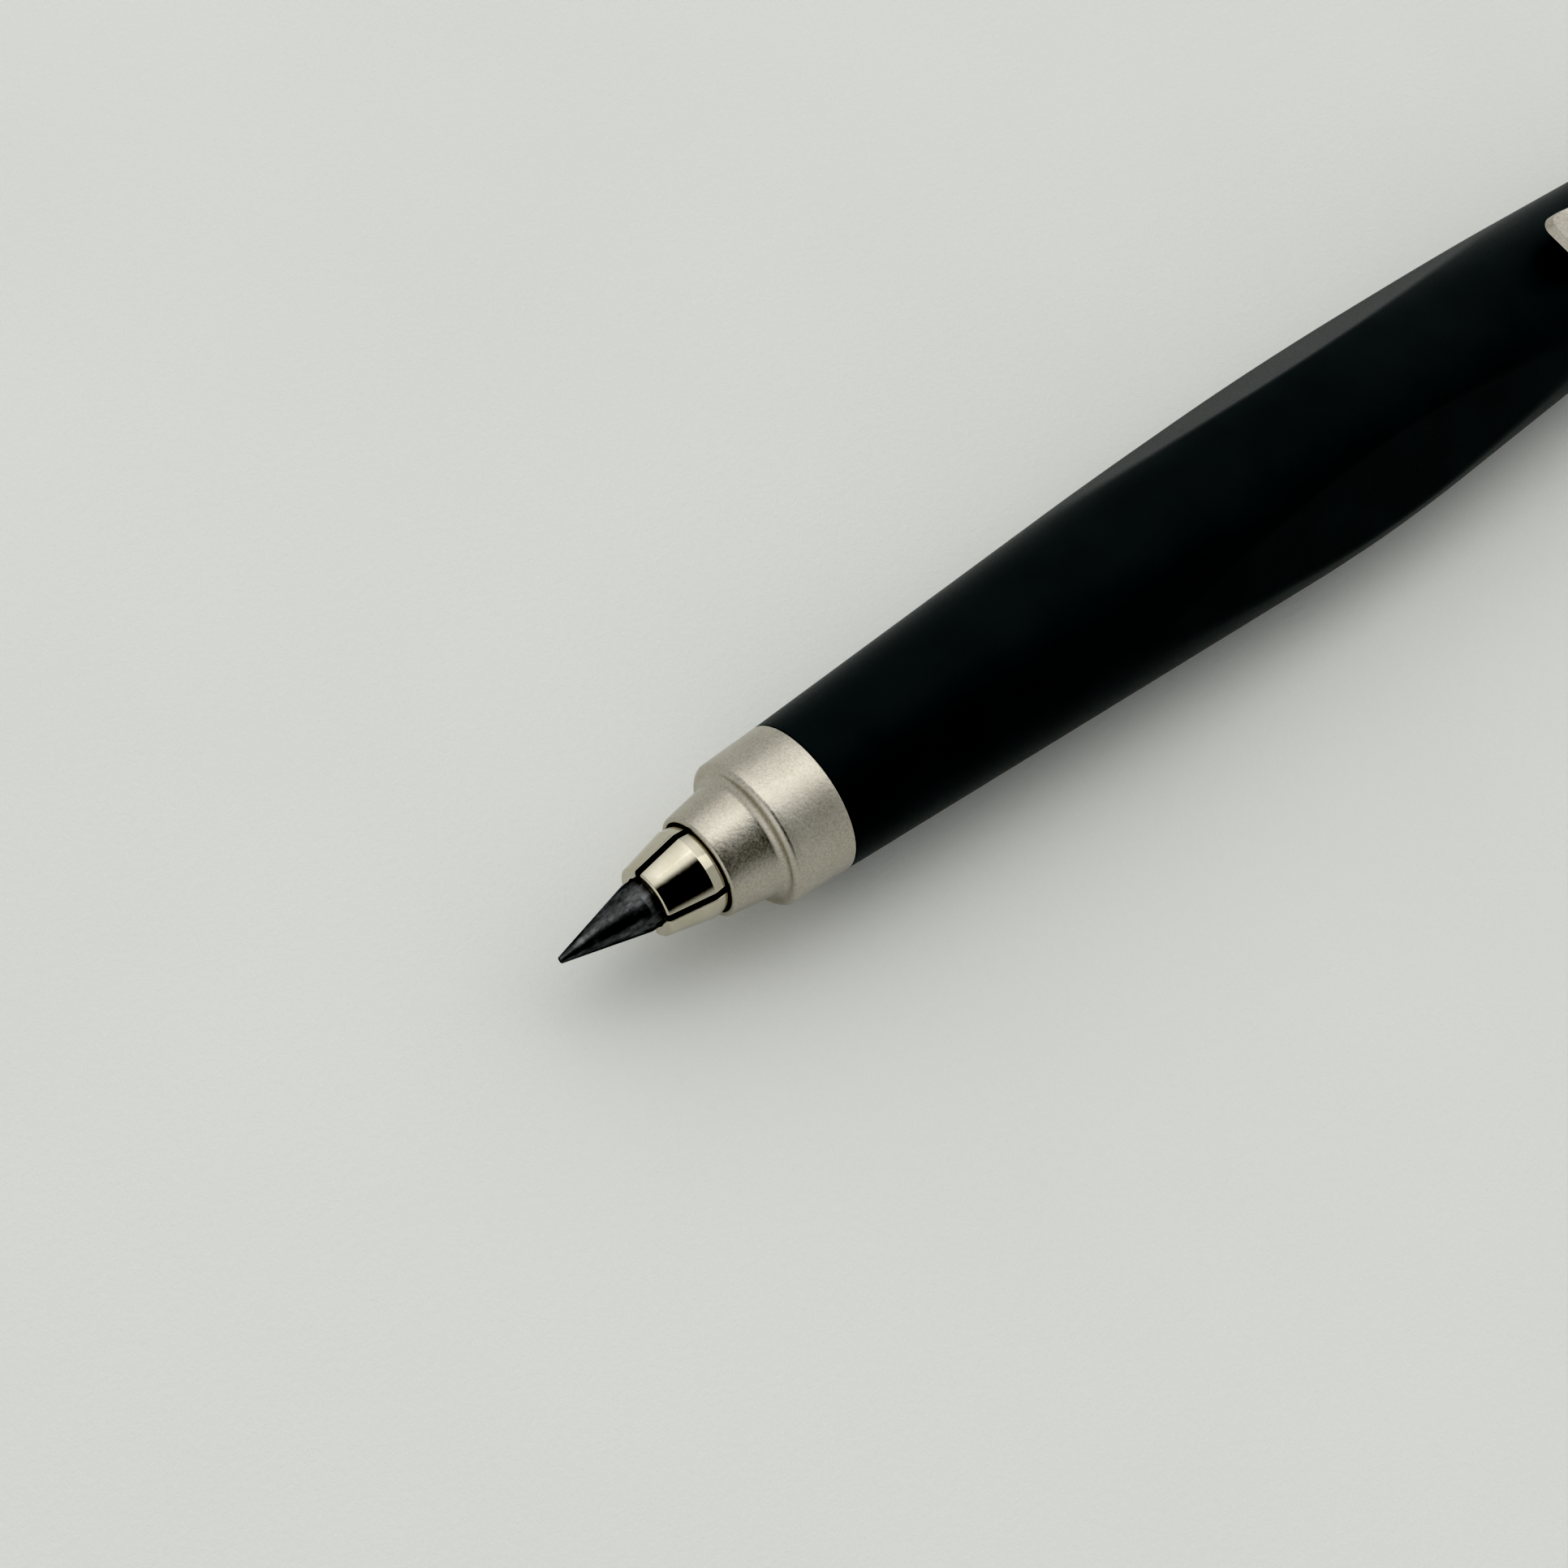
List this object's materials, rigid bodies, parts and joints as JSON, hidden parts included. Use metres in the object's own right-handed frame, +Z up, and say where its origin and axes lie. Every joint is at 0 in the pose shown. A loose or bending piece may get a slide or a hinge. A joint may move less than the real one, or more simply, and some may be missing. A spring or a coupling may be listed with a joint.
{
  "type": "lead holder",
  "caption": "Drop-clutch lead holder with a swelling faceted black barrel, stepped metal nose, slit collet around a sharpened thick lead, spring clip and push button.",
  "frame": {"origin": "centre of the holder's length and width, in the plane of the barrel's bottom facet, on which it lies", "axes": "+X along the holder's axis towards the push button, so the lead points to -X; +Z up, where the clip is; the axis runs 6.15 mm above the origin"},
  "size_m": [0.1198, 0.014, 0.0147],
  "materials": {
    "barrel_plastic": "matte black moulded plastic with a very fine grain",
    "satin_metal": "bead-blasted satin nickel plate, pearly warm grey",
    "collet_metal": "polished nickel plate with a faint yellow tone",
    "brass": "plain turned brass",
    "steel": "plain spring steel",
    "graphite": "dark grey graphite, faintly shiny where it was sharpened",
    "grey_plastic": "dark grey acetal plastic"
  },
  "bodies": {
    "holder": {"barrel": "barrel_plastic", "nose_cone": "satin_metal", "front_bush": "brass", "rear_bush": "brass", "guide_bush": "grey_plastic", "spring_seat": "steel", "return_spring": "steel", "clip_ring": "satin_metal", "end_ring": "satin_metal"},
    "plunger": {"collet_sleeve": "collet_metal", "lead_tube": "brass", "spring_collar": "brass"},
    "jaw_1": {"collet_jaw_1": "collet_metal"},
    "jaw_2": {"collet_jaw_2": "collet_metal"},
    "jaw_3": {"collet_jaw_3": "collet_metal"},
    "jaw_4": {"collet_jaw_4": "collet_metal"},
    "lead": {"lead": "graphite"},
    "button": {"push_button": "satin_metal", "pointer_body": "grey_plastic", "pointer_blade": "steel"},
    "clip": {"clip_arm": "satin_metal"}
  },
  "joints": [
    {"name": "push", "type": "slide", "parent": "holder", "child": "plunger", "axis": [-1, 0, 0], "range_m": [0, 0.0045], "stiffness_N_per_m": 900, "springref_m": -0.0012, "deforming": ["return_spring"]},
    {"name": "jaw_1_flex", "type": "hinge", "parent": "plunger", "child": "jaw_1", "pos_m": [-0.0359, -0.00058, 0.00848], "axis": [0, 0.9703, 0.2419], "range_deg": [0, 1.5]},
    {"name": "jaw_2_flex", "type": "hinge", "parent": "plunger", "child": "jaw_2", "pos_m": [-0.0359, -0.00233, 0.00557], "axis": [0, -0.2419, 0.9703], "range_deg": [0, 1.5]},
    {"name": "jaw_3_flex", "type": "hinge", "parent": "plunger", "child": "jaw_3", "pos_m": [-0.0359, 0.00058, 0.00382], "axis": [0, -0.9703, -0.2419], "range_deg": [0, 1.5]},
    {"name": "jaw_4_flex", "type": "hinge", "parent": "plunger", "child": "jaw_4", "pos_m": [-0.0359, 0.00233, 0.00673], "axis": [0, 0.2419, -0.9703], "range_deg": [0, 1.5]},
    {"name": "lead_slide", "type": "slide", "parent": "plunger", "child": "lead", "axis": [-1, 0, 0], "range_m": [-0.0065, 0.015]},
    {"name": "button_pull", "type": "slide", "parent": "plunger", "child": "button", "axis": [1, 0, 0], "range_m": [0, 0.008]},
    {"name": "clip_flex", "type": "hinge", "parent": "holder", "child": "clip", "pos_m": [0.0517, 0, 0.01305], "axis": [0, 1, 0], "range_deg": [0, 4], "stiffness_Nm_per_rad": 1.2, "springref_deg": -1.15}
  ],
  "couplings": [
    {"joint": "jaw_1_flex", "follows": "push", "rad_per_m": 5.8172},
    {"joint": "jaw_2_flex", "follows": "push", "rad_per_m": 5.8172},
    {"joint": "jaw_3_flex", "follows": "push", "rad_per_m": 5.8172},
    {"joint": "jaw_4_flex", "follows": "push", "rad_per_m": 5.8172}
  ]
}
